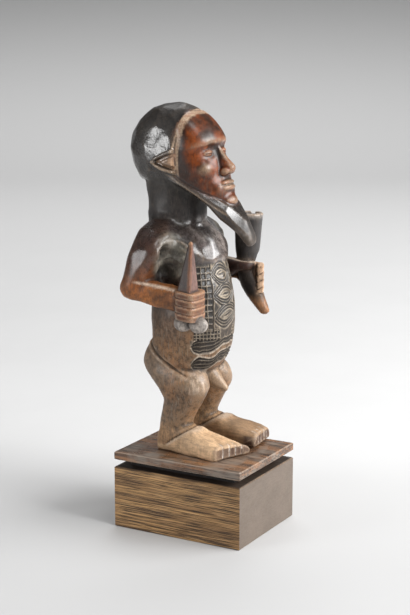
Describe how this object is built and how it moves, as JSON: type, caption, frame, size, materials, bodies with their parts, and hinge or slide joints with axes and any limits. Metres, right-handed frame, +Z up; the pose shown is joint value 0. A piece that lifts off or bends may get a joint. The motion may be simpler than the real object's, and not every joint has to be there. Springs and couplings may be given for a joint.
{
  "type": "carved wooden figure on a plinth",
  "caption": "Standing bearded ancestor figure carved in dark wood, holding a knife and a horn, on a small wooden plinth with a shadow gap.",
  "frame": {"origin": "centre of the plinth's underside", "axes": "+Z up; the figure faces -Y; +X is the figure's left"},
  "size_m": [0.0624, 0.0655, 0.178],
  "materials": {
    "figure_wood": "hand-polished dark patina",
    "plate_wood": "satin",
    "spacer_wood": "matt black",
    "block_wood": "satin, dark-streaked grain"
  },
  "bodies": {
    "root": {"figure": "figure_wood", "plinth_plate": "plate_wood", "plinth_spacer": "spacer_wood", "plinth_block": "block_wood"}
  },
  "joints": []
}
